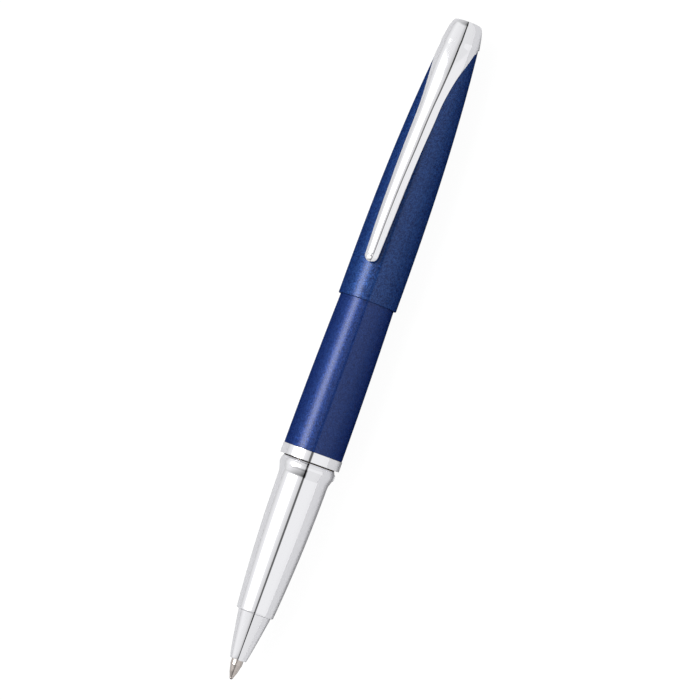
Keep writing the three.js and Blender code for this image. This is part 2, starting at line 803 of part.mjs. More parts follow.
function clipFoot() {
  const { x } = clipSections().at(-5);
  const height = capRadius(x) + CLIP_FOOT_GAP + CLIP_FOOT_RADIUS;
  return new THREE.SphereGeometry(CLIP_FOOT_RADIUS, 12, 8).translate(x, 0, height);
}

function clipCasting() {
  const over = (x) => capRadius(x) + CLIP_CLEARANCE;
  const room = outline(over, capMouth, crownSeat, 12);
  const capRoom = turned([[capMouth, 0], ...room, [crownSeat, 0]], VISIBLE_SIDES);
  const arm = toSolid(skin(clipSections().map(clipSection)));
  const whole = toSolid(crown()).add(arm).add(toSolid(clipFoot()));
  return toGeometry(whole.subtract(toSolid(capRoom)).subtract(toSolid(screwHole())));
}

function clipScrew() {
  const [slotWidth, slotDepth] = SCREW_SLOT;
  const headEnd = screwHeadFront + SCREW_HEAD_HEIGHT;
  const body = turned([
    [screwHeadFront, 0],
    [screwHeadFront, SCREW_HEAD_RADIUS - 0.2],
    [screwHeadFront + 0.25, SCREW_HEAD_RADIUS],
    [headEnd, SCREW_HEAD_RADIUS],
    [headEnd, SCREW_RADIUS],
    [screwEnd - 0.2, SCREW_RADIUS],
    [screwEnd, SCREW_RADIUS - 0.2],
    [screwEnd, 0],
  ]);
  const slot = new THREE.BoxGeometry(2 * slotDepth, 5 * SCREW_RADIUS, slotWidth);
  slot.translate(screwHeadFront, 0, 0);
  return toGeometry(toSolid(body).subtract(toSolid(slot)));
}

function clipWasher() {
  const bore = SCREW_RADIUS + PRESS_GAP;
  return tube(washerFront, washerFront + WASHER_THICKNESS, SCREW_HEAD_RADIUS, bore);
}

// ---- assembly ----------------------------------------------------------------------------

const finish = (color, roughness, metalness) =>
  new THREE.MeshStandardMaterial({ color, roughness, metalness });

const lacquer = finish(0x23407c, 0.3, 0.55);
const chrome = finish(0xdcdde0, 0.07, 1);
const nickelSilver = finish(0xb4ada6, 0.22, 1);
const carbide = finish(0x3c3a3a, 0.2, 1);
const brass = finish(0xb8954a, 0.3, 1);
const steel = finish(0x9fa2a6, 0.3, 1);
const rubber = finish(0x141414, 0.8, 0);
const blackPlastic = finish(0x1b1b1d, 0.5, 0);
const palePlastic = finish(0xd9d8d0, 0.5, 0);
const ink = finish(0x0a0a12, 0.4, 0);
const grease = finish(0xc8b070, 0.4, 0);

const pieces = [
  ["barrel_shell", barrelShell, lacquer],
  ["barrel_trim_ring", barrelTrimRing, chrome],
  ["barrel_thread_bush", barrelThreadBush, brass],
  ["barrel_end_plug", barrelEndPlug, chrome],
  ["refill_spring", refillSpring, steel],
  ["refill_tube", refillTube, steel],
  ["refill_holder", refillHolder, palePlastic],
  ["refill_point", refillPoint, nickelSilver],
  ["refill_ball", refillBall, carbide],
  ["refill_end_plug", refillEndPlug, blackPlastic],
  ["ink_charge", inkCharge, ink],
  ["ink_follower", inkFollower, grease],
  ["grip_shell", gripShell, chrome],
  ["grip_liner", gripLiner, blackPlastic],
  ["nose_cone", noseCone, chrome],
  ["section_thread_sleeve", sectionThreadSleeve, brass],
  ["section_o_ring", sectionORing, rubber],
  ["cap_clutch_ring", capClutchRing, blackPlastic],
  ["cap_shell", capShell, lacquer],
  ["inner_cap", innerCap, blackPlastic],
  ["cap_bridge", capBridge, brass],
  ["clip_casting", clipCasting, chrome],
  ["clip_screw", clipScrew, steel],
  ["clip_washer", clipWasher, steel],
  ["clip_spring", clipSpring, steel],
];

const pen = new THREE.Group();
for (const [name, make, material] of pieces) {
  const mesh = new THREE.Mesh(make(), material);
  mesh.name = name;
  pen.add(mesh);
}

// The origin is under the middle of the pen, on the surface that the trim ring lies on.
pen.position.set(-penEnd / 2, 0, ringRadius);

export default pen;
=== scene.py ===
"""Rollerball pen, cap posted on the barrel: the looks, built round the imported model.

The pen lies along X on the floor, writing tip at -X, crown at +X, clip on top.
Shapes are worked out in millimetres as (x, radius) outlines, and built in metres.
"""

import json
import math

import bmesh
import bpy
from mathutils import Matrix, Vector


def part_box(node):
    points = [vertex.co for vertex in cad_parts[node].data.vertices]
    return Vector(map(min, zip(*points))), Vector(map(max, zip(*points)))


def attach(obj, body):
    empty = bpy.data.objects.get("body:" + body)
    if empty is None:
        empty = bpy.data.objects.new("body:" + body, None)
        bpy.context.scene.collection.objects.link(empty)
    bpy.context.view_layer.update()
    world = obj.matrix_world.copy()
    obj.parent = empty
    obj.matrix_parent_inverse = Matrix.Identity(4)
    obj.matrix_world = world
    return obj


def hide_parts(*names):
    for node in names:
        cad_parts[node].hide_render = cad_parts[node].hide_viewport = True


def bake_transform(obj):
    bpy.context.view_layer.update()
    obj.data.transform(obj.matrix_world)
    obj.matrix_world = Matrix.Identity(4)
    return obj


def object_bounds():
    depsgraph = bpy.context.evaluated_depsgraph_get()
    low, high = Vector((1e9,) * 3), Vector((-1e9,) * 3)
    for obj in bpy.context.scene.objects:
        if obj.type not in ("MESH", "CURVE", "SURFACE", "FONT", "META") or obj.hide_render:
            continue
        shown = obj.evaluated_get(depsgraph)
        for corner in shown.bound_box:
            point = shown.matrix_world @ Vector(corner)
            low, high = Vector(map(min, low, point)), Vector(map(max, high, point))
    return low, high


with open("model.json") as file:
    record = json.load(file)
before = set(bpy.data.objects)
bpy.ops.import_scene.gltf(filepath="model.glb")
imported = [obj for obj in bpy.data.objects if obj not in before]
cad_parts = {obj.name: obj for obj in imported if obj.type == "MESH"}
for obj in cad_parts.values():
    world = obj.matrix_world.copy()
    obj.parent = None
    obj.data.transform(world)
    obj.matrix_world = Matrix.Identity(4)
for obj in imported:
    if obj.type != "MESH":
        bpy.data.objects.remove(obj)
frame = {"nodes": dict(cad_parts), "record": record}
cad_bounds = [list(corner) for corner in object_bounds()]

MM = 0.001
SIDES = 128  # flats round a turned piece that is seen
INNER_SIDES = 96  # flats round a small or hidden turned piece
BALL_SIDES = 48
FINE = 64  # steps along a long outline
NEAR = 2e-6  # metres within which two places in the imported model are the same
PLACE_DIGITS = 7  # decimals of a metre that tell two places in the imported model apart
MERGE = 1e-8  # metres within which vertices become one
NO_EDGE = 1e-9  # metres of an edge that is dissolved
ZERO = 1e-6  # millimetres that count as no size
AT_END = 0.01  # millimetres from an end in which a point counts as at that end
HALF_SIDE = 2.01  # divides a side, so that its two fillets together stay just shorter than it

# degrees from which an edge counts as sharp
SHARP = 32
CLIP_SHARP = 40
CAD_SHARP = 30

# ---- places and sizes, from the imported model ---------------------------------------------


def low_x(node):
    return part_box(node)[0].x / MM


def high_x(node):
    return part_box(node)[1].x / MM


def outer_radius(node):
    low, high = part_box(node)
    return (high.y - low.y) / 2 / MM


ring_low, ring_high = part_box("barrel_trim_ring")
AXIS_Z = (ring_low.z + ring_high.z) / 2 / MM

tip = cad_bounds[0][0] / MM
pen_end = cad_bounds[1][0] / MM
nose_front = low_x("nose_cone")
grip_front = low_x("grip_shell")
grip_end = high_x("grip_shell")
ring_front = low_x("barrel_trim_ring")
ring_end = high_x("barrel_trim_ring")
section_joint = ring_front - grip_end
barrel_shell_end = high_x("barrel_shell")
barrel_end = high_x("barrel_end_plug")
cap_mouth = low_x("cap_shell")
cap_end = high_x("cap_shell")
crown_seat = cap_end + 0.15  # the crown stands this far off the cap

ring_radius = outer_radius("barrel_trim_ring")
cap_mouth_radius = outer_radius("cap_shell")
BARREL_RADIUS = 6.53
BARREL_REAR_RADIUS = 4.35
BARREL_TAPER = 1.9  # power of the curve from the front radius to the rear one
BARREL_WALL = 0.45
SHELL_GAP = 0.01  # between the barrel's shell and its trim ring
GRIP_FRONT_RADIUS = 4.1
GRIP_REAR_RADIUS = 5.5
GRIP_TAPER = 1.93
NOSE_FRONT_RADIUS = 1.82
NOSE_REAR_RADIUS = 3.63
NOSE_TAPER = 0.9
NOSE_BORE_LENGTH = 3.55
CAP_REAR_RADIUS = 4.05
CAP_TAPER = 2.52
CAP_WALL = 0.38
CROWN_LIP_RADIUS = 4.25
CROWN_END_RADIUS = 2.98
CROWN_CONE = 0.64  # share of the crown's taper that is straight
CROWN_ROUND = 7  # power of the curve that the rest follows
PART_GAP = 0.05  # between pieces that are fixed together

# fillets
TINY_EDGE = 0.04
SMALL_EDGE = 0.05
PLAIN_EDGE = 0.08
SOFT_EDGE = 0.1
SHELL_EDGE = 0.12
RING_EDGE = 0.14
RING_BORE_EDGE = 0.03
NOSE_EDGE = 0.16
NOSE_BORE_EDGE = 0.07
CROWN_EDGE = 0.2
GRIP_EDGE = 0.28

SNAP_CLEARANCE = 0.03  # of the collar in the cap's mouth
COLLAR_LENGTH = 4.1
COLLAR_RADIUS = cap_mouth_radius - CAP_WALL - SNAP_CLEARANCE
# The o-ring's lip is black rubber that fills the joint between collar and trim ring. It is painted
# shade: a dark line standing in for the shade in the groove there.
SHADE_LIP_GAP = 0.004  # between the o-ring's lip and its neighbours
LIP_RADIUS = COLLAR_RADIUS - 0.43
DOMES = 3
DOME_FROM_END = 1.35
DOME_RADIUS = 0.76
DOME_HEIGHT = 0.12
DOME_ROOT = 0.25  # how far the domes reach into the collar
DOME_TURN = 9  # degrees from the clip's plane
# the groove inside the cap's mouth that snaps over the domes when the cap is on the front
GROOVE_HALF_WIDTH = 0.85
GROOVE_HALF_FLOOR = 0.5
GROOVE_DEPTH = 0.1
GROOVE_LAND = 1.5  # from the groove's middle, where the bore starts to follow the outside
PLUG_CHAMFER = 0.3
PLUG_FLAT_RADIUS = 3.0

POINT_RADIUS = 1.3
POINT_RIM = 3.25  # from the tip to the rim where the cone ends
POINT_STEP_LENGTH = 0.1
POINT_STEP_RADIUS = 1.22
POINT_CONE = [(0.27, 0.405), (0.6, 0.48), (1.7, 0.88), (3.05, 1.19)]  # distance from the tip, radius
INK_HOLE_RADIUS = 0.2
BALL_RADIUS = 0.35
BALL_CLEARANCE = 0.03
SOCKET_LIP = 0.1  # how far the socket reaches forward of the ball's centre

CLIP_CLEARANCE = 0.08
CLIP_EDGE = 0.25
CLIP_BEVEL = 0.05
CLIP_TIP_DROP = 0.5
CLIP_TIP_BLUNT = 0.8  # under 1 the tip is blunter than a half circle
CLIP_TIP_RISE = 0.1  # the least height of the tip's middle over its edges
CLIP_TIP_TURNS = (12, 24, 36, 47, 57, 66, 74, 81, 86)  # degrees round the tip
FOOT_RADIUS = 1.0
FOOT_GAP = 0.15
SCREW_HOLE_RADIUS = 0.96
SCREW_HOLE_PAST = 0.4  # how far the hole goes on past the screw
# distance forward of the crown seat, height above the cap, half width, lift of the edges
CLIP_STATIONS = [
    (1.2, 0.26, 4.16, 0),
    (3.8, 0.37, 3.95, 0),
    (6.6, 0.46, 3.45, 0),
    (9, 0.54, 3.06, 0),
    (12, 0.62, 2.68, 0),
    (15, 0.73, 2.42, 0),
    (19, 0.95, 2.32, 0.1),
    (25, 1.38, 2.16, 0.6),
    (33, 1.93, 1.98, 1.0),
    (41, 2.16, 1.82, 1.15),
    (49.7, 2.05, 1.53, 1.1),
]


def lerp(a, b, t):
    return a + (b - a) * t


def share(x, start, length):
    return min(1, max(0, (x - start) / length))


def barrel_radius(x):
    s = share(x, ring_end, barrel_end - ring_end)
    return BARREL_RADIUS - (BARREL_RADIUS - BARREL_REAR_RADIUS) * s**BARREL_TAPER


def cap_radius(x):
    """The cap's outline, which the clip's saddle follows on past the cap's end."""
    s = max(0, (x - cap_mouth) / (cap_end - cap_mouth))
    return cap_mouth_radius - (cap_mouth_radius - CAP_REAR_RADIUS) * s**CAP_TAPER


def grip_radius(x):
    s = share(x, grip_front, grip_end - COLLAR_LENGTH - grip_front)
    return GRIP_REAR_RADIUS - (GRIP_REAR_RADIUS - GRIP_FRONT_RADIUS) * (1 - s) ** GRIP_TAPER


def nose_radius(x):
    s = share(x, nose_front, grip_front - nose_front)
    return NOSE_FRONT_RADIUS + (NOSE_REAR_RADIUS - NOSE_FRONT_RADIUS) * s**NOSE_TAPER


def crown_radius(x):
    s = share(x, crown_seat, pen_end - crown_seat)
    drop = lerp(s**CROWN_ROUND, s, CROWN_CONE)
    return CROWN_LIP_RADIUS - (CROWN_LIP_RADIUS - CROWN_END_RADIUS) * drop


# ---- mesh helpers ------------------------------------------------------------------------


def spaced(start, end, steps):
    return [lerp(start, end, i / steps) for i in range(steps + 1)]


def outline(radius_at, start, end, steps=FINE):
    return [(x, radius_at(x)) for x in spaced(start, end, steps)]


def catmull_rom(a, b, c, d, t):
    """One number of a uniform Catmull-Rom curve, at the share t of the way from b to c."""
    slope = (c - a) * t
    bend = (2 * a - 5 * b + 4 * c - d) * t**2
    twist = (3 * b - a - 3 * c + d) * t**3
    return 0.5 * (2 * b + slope + bend + twist)


def smooth_through(points, steps):
    """A smooth curve through the points, with steps on each stretch."""
    first = [2 * a - b for a, b in zip(points[0], points[1])]
    last = [2 * a - b for a, b in zip(points[-1], points[-2])]
    padded = [first, *points, last]
    result = []
    for stretch in zip(padded, padded[1:], padded[2:], padded[3:]):
        for k in range(steps):
            result.append(tuple(catmull_rom(*numbers, k / steps) for numbers in zip(*stretch)))
    return [*result, tuple(points[-1])]


def rounded(corners, steps=5):
    """Replaces each corner (x, radius, fillet) of a closed outline by a curve that long each way."""
    points = []
    for i, (x, r, fillet) in enumerate(corners):
        here = Vector((x, r))
        before = Vector(corners[i - 1][:2]) - here
        after = Vector(corners[(i + 1) % len(corners)][:2]) - here
        if fillet <= 0 or min(before.length, after.length) < ZERO:
            points.append((x, r))
            continue
        cut = min(fillet, before.length / HALF_SIDE, after.length / HALF_SIDE)
        start = here + before.normalized() * cut
        end = here + after.normalized() * cut
        for k in range(steps + 1):
            t = k / steps
            p = start * (1 - t) ** 2 + here * 2 * t * (1 - t) + end * t**2
            points.append((p.x, p.y))
    return points


def corners_along(points, first=0, last=0):
    """An outline's points as corners for rounded(), with a fillet at its first and last point."""
    fillets = [first, *[0] * (len(points) - 2), last]
    return [(x, r, fillet) for (x, r), fillet in zip(points, fillets)]


def finish_mesh(bm, name, sharp_degrees=SHARP):
    """An object in the scene from the faces, smooth but for its sharp edges."""
    bmesh.ops.remove_doubles(bm, verts=bm.verts, dist=MERGE)
    bmesh.ops.dissolve_degenerate(bm, edges=bm.edges, dist=NO_EDGE)
    bmesh.ops.recalc_face_normals(bm, faces=bm.faces)
    sharp = math.radians(sharp_degrees)
    for edge in bm.edges:
        edge.smooth = len(edge.link_faces) == 2 and edge.calc_face_angle(0) < sharp
    for face in bm.faces:
        face.smooth = True
    mesh = bpy.data.meshes.new(name)
    bm.to_mesh(mesh)
    bm.free()
    obj = bpy.data.objects.new(name, mesh)
    bpy.context.scene.collection.objects.link(obj)
    return obj


def place(x, across, up):
    """A point of the shared frame in metres, from mm along the pen, across its axis and up."""
    return Vector((x * MM, across * MM, (AXIS_Z + up) * MM))


def ring_of(bm, x, radius, sides):
    """One circle of vertices, or a single vertex where the circle has no size."""
    if radius < ZERO:
        return [bm.verts.new(place(x, 0, 0))]
    angles = [2 * math.pi * i / sides for i in range(sides)]
    return [bm.verts.new(place(x, radius * math.sin(a), radius * math.cos(a))) for a in angles]


def bridge(bm, first, second):
    """The faces between two loops of vertices, of which one may be a single vertex."""
    count = max(len(first), len(second))
    for i in range(count):
        j = (i + 1) % count
        corners = [first[i % len(first)], first[j % len(first)]]
        corners += [second[j % len(second)], second[i % len(second)]]
        distinct = list(dict.fromkeys(corners))
        if len(distinct) > 2:
            bm.faces.new(distinct)


def add_loops(bm, loops):
    """The skin from each loop of vertices to the next."""
    for first, second in zip(loops, loops[1:]):
        bridge(bm, first, second)


def add_turned(bm, points, sides=SIDES):
    """Adds a turned piece. The outline closes on itself, or has its two ends on the axis."""
    rings = [ring_of(bm, x, r, sides) for x, r in points]
    closed = all(r > ZERO for _, r in points)
    add_loops(bm, [*rings, rings[0]] if closed else rings)


def turned(name, points, sides=SIDES):
    bm = bmesh.new()
    add_turned(bm, points, sides)
    return finish_mesh(bm, name)


def links_in_section(node):
    """Where a turned CAD node meets the half plane above the axis: which points are joined."""
    mesh = frame["nodes"][node].data
    places = {}
    for v in mesh.vertices:
        if abs(v.co.y) < NEAR and v.co.z > AXIS_Z * MM - NEAR:
            places[v.index] = (round(v.co.x, PLACE_DIGITS), round(v.co.z, PLACE_DIGITS))
    links = {}
    for edge in mesh.edges:
        a, b = (places.get(i) for i in edge.vertices)
        if a and b and a != b:
            links.setdefault(a, set()).add(b)
            links.setdefault(b, set()).add(a)
    return links


def half_section(node):
    """The outline of a turned CAD node, walked from the axis or from its front."""
    links = links_in_section(node)

    def off_axis(point):
        return point[1] > AXIS_Z * MM + NEAR

    ends = [point for point in links if not off_axis(point)]
    path = [min(ends or links)]
    while True:
        onward = [p for p in links[path[-1]] if p not in path and (off_axis(p) or off_axis(path[-1]))]
        if not onward:
            return [(x / MM, max(0, z / MM - AXIS_Z)) for x, z in path]
        path.append(min(onward))


def fine_copy(node):
    """A turned CAD node again, with round sides and small fillets at its corners."""
    corners = [(x, r, PLAIN_EDGE if r > ZERO else 0) for x, r in half_section(node)]
    return turned(node + "_fine", rounded(corners), INNER_SIDES)


# ---- materials ---------------------------------------------------------------------------

COAT = 0.55  # weight of the lacquer's clear coat seen head on
COAT_FADE = 3.0  # power by which the coat fades towards the edges
FLAKE_TILT = 0.34
# the wave texture has this many bands in one unit at scale 1
WAVE_BANDS = 20 / (2 * math.pi)


def new_material(name, color, roughness, metallic):
    material = bpy.data.materials.new(name)
    material.use_nodes = True
    shader = material.node_tree.nodes["Principled BSDF"]
    shader.inputs["Base Color"].default_value = (*color, 1)
    shader.inputs["Roughness"].default_value = roughness
    shader.inputs["Metallic"].default_value = metallic
    return material, shader


def add(material, kind, **values):
    """A new node, with values for its own settings or for its sockets."""
    node = material.node_tree.nodes.new(kind)
    for name, value in values.items():
        if hasattr(node, name):
            setattr(node, name, value)
        else:
            node.inputs[name].default_value = value
    return node


def link(material, source, output, target, socket):
    material.node_tree.links.new(source.outputs[output], target.inputs[socket])


def math_node(tree, operation, *values):
    """One step of arithmetic on numbers or sockets."""
    node = tree.nodes.new("ShaderNodeMath")
    node.operation = operation
    for socket, value in zip(node.inputs, values):
        if isinstance(value, (int, float)):
            socket.default_value = value
        else:
            tree.links.new(value, socket)
    return node.outputs[0]


def object_coordinates(material, scale=(1, 1, 1)):
    """Places on the piece itself, so that a pattern rides with it."""
    coordinates = add(material, "ShaderNodeTexCoord")
    mapping = add(material, "ShaderNodeMapping")
    mapping.inputs["Scale"].default_value = scale
    link(material, coordinates, "Object", mapping, "Vector")
    return mapping


def vary_roughness(material, shader, mapping, scale, low, high):
    """Roughness that drifts between low and high over the surface."""
    noise = add(material, "ShaderNodeTexNoise", Scale=scale, Detail=4.0)
    spread = add(material, "ShaderNodeMapRange")
    spread.inputs["From Min"].default_value = 0.3
    spread.inputs["From Max"].default_value = 0.7
    spread.inputs["To Min"].default_value = low
    spread.inputs["To Max"].default_value = high
    link(material, mapping, "Vector", noise, "Vector")
    link(material, noise, "Fac", spread, "Value")
    link(material, spread, "Result", shader, "Roughness")


def bump(material, shader, height, output, strength, distance):
    node = add(material, "ShaderNodeBump", Strength=strength, Distance=distance)
    link(material, height, output, node, "Height")
    link(material, node, "Normal", shader, "Normal")


def flake_tilt(material, size, amount):
    """Cells of one mica flake each, size millimetres across, and a normal tilted at random in each."""
    flakes = add(material, "ShaderNodeTexVoronoi", Scale=1 / (size * MM))
    link(material, object_coordinates(material), "Vector", flakes, "Vector")
    centred = add(material, "ShaderNodeVectorMath", operation="SUBTRACT")
    centred.inputs[1].default_value = (0.5, 0.5, 0.5)
    link(material, flakes, "Color", centred, 0)
    scaled = add(material, "ShaderNodeVectorMath", operation="SCALE")
    scaled.inputs["Scale"].default_value = amount
    link(material, centred, "Vector", scaled, 0)
    geometry = add(material, "ShaderNodeNewGeometry")
    tilted = add(material, "ShaderNodeVectorMath", operation="ADD")
    link(material, geometry, "Normal", tilted, 0)
    link(material, scaled, "Vector", tilted, 1)
    unit = add(material, "ShaderNodeVectorMath", operation="NORMALIZE")
    link(material, tilted, "Vector", unit, 0)
    return flakes, unit


def fading_coat(material, shader):
    """A clear coat that is strongest seen head on and fades at the edges."""
    tree = material.node_tree
    facing = add(material, "ShaderNodeLayerWeight", Blend=0.5)
    front = math_node(tree, "SUBTRACT", 1.0, facing.outputs["Facing"])
    fade = math_node(tree, "POWER", front, COAT_FADE)
    tree.links.new(math_node(tree, "MULTIPLY", fade, COAT), shader.inputs["Coat Weight"])


def lacquer(name, deep, bright, flake_size):
    """Metallic blue: a base with mica flakes, from deep to bright, under a clear coat."""
    material, shader = new_material(name, deep, roughness=0.38, metallic=0.5)
    shader.inputs["Specular IOR Level"].default_value = 0.0
    shader.inputs["Specular Tint"].default_value = (0.05, 0.05, 0.2, 1)
    shader.inputs["Coat Roughness"].default_value = 0.1
    shader.inputs["Coat IOR"].default_value = 1.5
    flakes, normal = flake_tilt(material, flake_size, FLAKE_TILT)
    link(material, normal, "Vector", shader, "Normal")
    split = add(material, "ShaderNodeSeparateColor")
    link(material, flakes, "Color", split, "Color")
    ramp = add(material, "ShaderNodeValToRGB")
    ramp.color_ramp.elements[0].color = (*deep, 1)
    ramp.color_ramp.elements[1].color = (*bright, 1)
    link(material, split, "Red", ramp, "Fac")
    link(material, ramp, "Color", shader, "Base Color")
    fading_coat(material, shader)
    return material


def chrome(name, color):
    """Bright plating with faint polishing haze."""
    material, shader = new_material(name, color, roughness=0.05, metallic=1.0)
    mapping = object_coordinates(material, scale=(1, 6, 6))
    vary_roughness(material, shader, mapping, scale=260.0, low=0.035, high=0.065)
    return material


def turned_metal(name, color, roughness, pitch=0.573, strength=0.25):
    """Lathe-cut metal with fine rings round the axis, pitch millimetres apart."""
    material, shader = new_material(name, color, roughness, metallic=1.0)
    mapping = object_coordinates(material)
    rings = add(material, "ShaderNodeTexWave", wave_type="BANDS", bands_direction="X")
    rings.inputs["Scale"].default_value = 1 / (pitch * MM * WAVE_BANDS)
    rings.inputs["Distortion"].default_value = 0.6
    link(material, mapping, "Vector", rings, "Vector")
    bump(material, shader, rings, "Fac", strength, distance=0.01 * MM)
    return material


def moulded(name, color, roughness):
    """Plastic or rubber with a fine moulded grain."""
    material, shader = new_material(name, color, roughness, metallic=0.0)
    mapping = object_coordinates(material)
    grain = add(material, "ShaderNodeTexNoise", Scale=6000.0, Detail=3.0)
    link(material, mapping, "Vector", grain, "Vector")
    bump(material, shader, grain, "Fac", strength=0.3, distance=0.02 * MM)
    return material


def liquid(name, color, roughness):
    """Ink or grease, a little uneven in gloss."""
    material, shader = new_material(name, color, roughness, metallic=0.0)
    shader.inputs["IOR"].default_value = 1.4
    mapping = object_coordinates(material)
    vary_roughness(material, shader, mapping, scale=400.0, low=roughness * 0.6, high=roughness * 1.4)
    return material


MATERIALS = {
    "lacquer": lacquer("barrel_lacquer", (0.003, 0.013, 0.08), (0.0145, 0.041, 0.172), flake_size=0.16),
    "cap_lacquer": lacquer("cap_lacquer", (0.002, 0.014, 0.08), (0.018, 0.057, 0.2), flake_size=0.22),
    "chrome": chrome("chrome_plate", (0.86, 0.86, 0.885)),
    "nickel_silver": turned_metal("nickel_silver", (0.55, 0.5, 0.47), 0.2),
    "ball_carbide": turned_metal("carbide", (0.06, 0.05, 0.05), 0.15, pitch=0.318, strength=0.1),
    "brass": turned_metal("brass", (0.72, 0.5, 0.2), 0.25),
    "steel": turned_metal("steel", (0.5, 0.5, 0.52), 0.25),
    "rubber": moulded("rubber", (0.006, 0.006, 0.006), 0.75),
    "black_plastic": moulded("black_plastic", (0.012, 0.012, 0.013), 0.45),
    "pale_plastic": moulded("pale_plastic", (0.68, 0.66, 0.6), 0.45),
    "ink": liquid("ink", (0.004, 0.004, 0.012), 0.12),
    "grease": liquid("grease", (0.5, 0.36, 0.12), 0.2),
}

BODY_OF = {
    node: body for body, nodes in frame["record"]["behaviour"]["bodies"].items() for node in nodes
}
SLOT_OF = {part["node"]: part["material_slot"] for part in frame["record"]["subparts"]}


def stand_for(obj, node, material=None):
    """Dresses a fine piece, lets it ride where its CAD node rides, and hides that node."""
    obj.data.materials.append(MATERIALS[material or SLOT_OF[node]])
    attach(obj, BODY_OF[node])
    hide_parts(node)


# ---- front section -----------------------------------------------------------------------


def make_nose_cone():
    section = half_section("nose_cone")
    bore = min(r for _, r in section)
    end = high_x("nose_cone")
    back = grip_front - PART_GAP
    inside_grip = grip_front + 0.5
    spigot = max(r for x, r in section if x > inside_grip)
    chamber = min(r for x, r in section if x > end - AT_END)
    stop = nose_front + NOSE_BORE_LENGTH
    corners = corners_along(outline(nose_radius, nose_front, back, steps=40), first=NOSE_EDGE)
    corners += [(back, spigot, SMALL_EDGE), (end, spigot, SMALL_EDGE), (end, chamber, SOFT_EDGE)]
    corners += [(stop, chamber, 0), (stop, bore, 0), (nose_front, bore, NOSE_BORE_EDGE)]
    stand_for(turned("nose_cone_fine", rounded(corners)), "nose_cone")


def collar_outline():
    """From the end of the grip's cone over the bulge to the collar's rear edge."""
    start = grip_end - COLLAR_LENGTH
    bulge = grip_end - DOME_FROM_END
    stations = [
        (start, GRIP_REAR_RADIUS),
        (start + 0.7, GRIP_REAR_RADIUS + 0.06),
        (start + 1.3, GRIP_REAR_RADIUS + 0.25),
        (bulge - 0.75, COLLAR_RADIUS - 0.17),
        (bulge, COLLAR_RADIUS),
        (bulge + 0.8, COLLAR_RADIUS - 0.15),
        (grip_end, COLLAR_RADIUS - 0.4),
    ]
    return smooth_through(stations, steps=7)


def add_dome(bm, angle):
    """A low round boss on the collar, standing out at an angle from the clip's plane."""
    sides, rings = 32, 10
    outward = Vector((0, math.sin(angle), math.cos(angle)))
    across = Vector((0, math.cos(angle), -math.sin(angle)))
    centre = place(grip_end - DOME_FROM_END, 0, 0) + outward * COLLAR_RADIUS * MM
    heights = [(k / rings, DOME_HEIGHT * (1 - (k / rings) ** 4)) for k in range(rings)]
    heights.append((1, -DOME_ROOT))
    loops = []
    for reach, rise in heights:
        loop = []
        for i in range(sides if reach else 1):
            turn = 2 * math.pi * i / sides
            along = Vector((math.cos(turn), 0, 0)) + across * math.sin(turn)
            loop.append(bm.verts.new(centre + (along * reach * DOME_RADIUS + outward * rise) * MM))
        loops.append(loop)
    add_loops(bm, loops)
    bm.faces.new(loops[-1])


def make_grip_shell():
    section = half_section("grip_shell")
    front_bore = min(r for x, r in section if x < grip_front + AT_END)
    rear_bore = min(r for x, r in section if x > grip_end - AT_END)
    sleeve_front = low_x("section_thread_sleeve") - PART_GAP
    spigot_end = high_x("nose_cone") + PART_GAP
    middle_bore = outer_radius("grip_liner") + PART_GAP
    cone = outline(grip_radius, grip_front, grip_end - COLLAR_LENGTH, steps=60)[:-1]
    corners = corners_along([*cone, *collar_outline()], first=GRIP_EDGE, last=SOFT_EDGE)
    corners += [(grip_end, rear_bore, SOFT_EDGE), (sleeve_front, rear_bore, 0)]
    corners += [(sleeve_front, middle_bore, 0), (spigot_end, middle_bore, 0)]
    corners += [(spigot_end, front_bore, 0), (grip_front, front_bore, TINY_EDGE)]
    bm = bmesh.new()
    add_turned(bm, rounded(corners))
    for i in range(DOMES):
        add_dome(bm, math.radians(DOME_TURN + 360 / DOMES * i))
    stand_for(finish_mesh(bm, "grip_shell_fine"), "grip_shell")


def make_o_ring():
    """The ring, with a thin black lip that fills the joint between collar and trim ring: painted shade,
    a dark line where the groove there lies in shade.
    """
    low, high = low_x("section_o_ring"), high_x("section_o_ring")
    wire = (high - low) / 2
    radius = outer_radius("section_o_ring") - wire
    centre = (low + high) / 2
    # the lip: black rubber in the joint, painted shade for the groove between collar and trim ring
    shade_lip_front, shade_lip_back = grip_end + SHADE_LIP_GAP, ring_front - SHADE_LIP_GAP
    angles = spaced(-math.pi, math.acos((shade_lip_back - centre) / wire), steps=24)
    points = [(centre + wire * math.cos(a), radius + wire * math.sin(a)) for a in angles]
    points += [(shade_lip_back, LIP_RADIUS), (shade_lip_front, LIP_RADIUS), (shade_lip_front, radius)]
    stand_for(turned("section_o_ring_fine", points), "section_o_ring")


# ---- refill ------------------------------------------------------------------------------


def socket_outline():
    """The cup that holds the ball, from the ink hole out to its lip."""
    radius = BALL_RADIUS + BALL_CLEARANCE
    hole, lip = math.asin(INK_HOLE_RADIUS / radius), math.acos(-SOCKET_LIP / radius)
    angles = spaced(hole, lip, steps=10)
    return [(tip + BALL_RADIUS + radius * math.cos(a), radius * math.sin(a)) for a in angles]


def make_refill_point():
    section = half_section("refill_point")
    shoulder = max(x for x, r in section if r > POINT_RADIUS - AT_END)
    end = high_x("refill_point")
    tail = max(r for x, r in section if x > end - AT_END)
    rim = tip + POINT_RIM
    corners = corners_along(smooth_through([(tip + d, r) for d, r in POINT_CONE], steps=12))
    corners += [(rim - POINT_STEP_LENGTH, POINT_STEP_RADIUS, TINY_EDGE), (rim, POINT_RADIUS, SMALL_EDGE)]
    corners += [(shoulder, POINT_RADIUS, PLAIN_EDGE), (shoulder, tail, 0), (end, tail, 0)]
    corners += [(end, INK_HOLE_RADIUS, 0), *corners_along(socket_outline())]
    fine = turned("refill_point_fine", rounded(corners), INNER_SIDES)
    stand_for(fine, "refill_point")


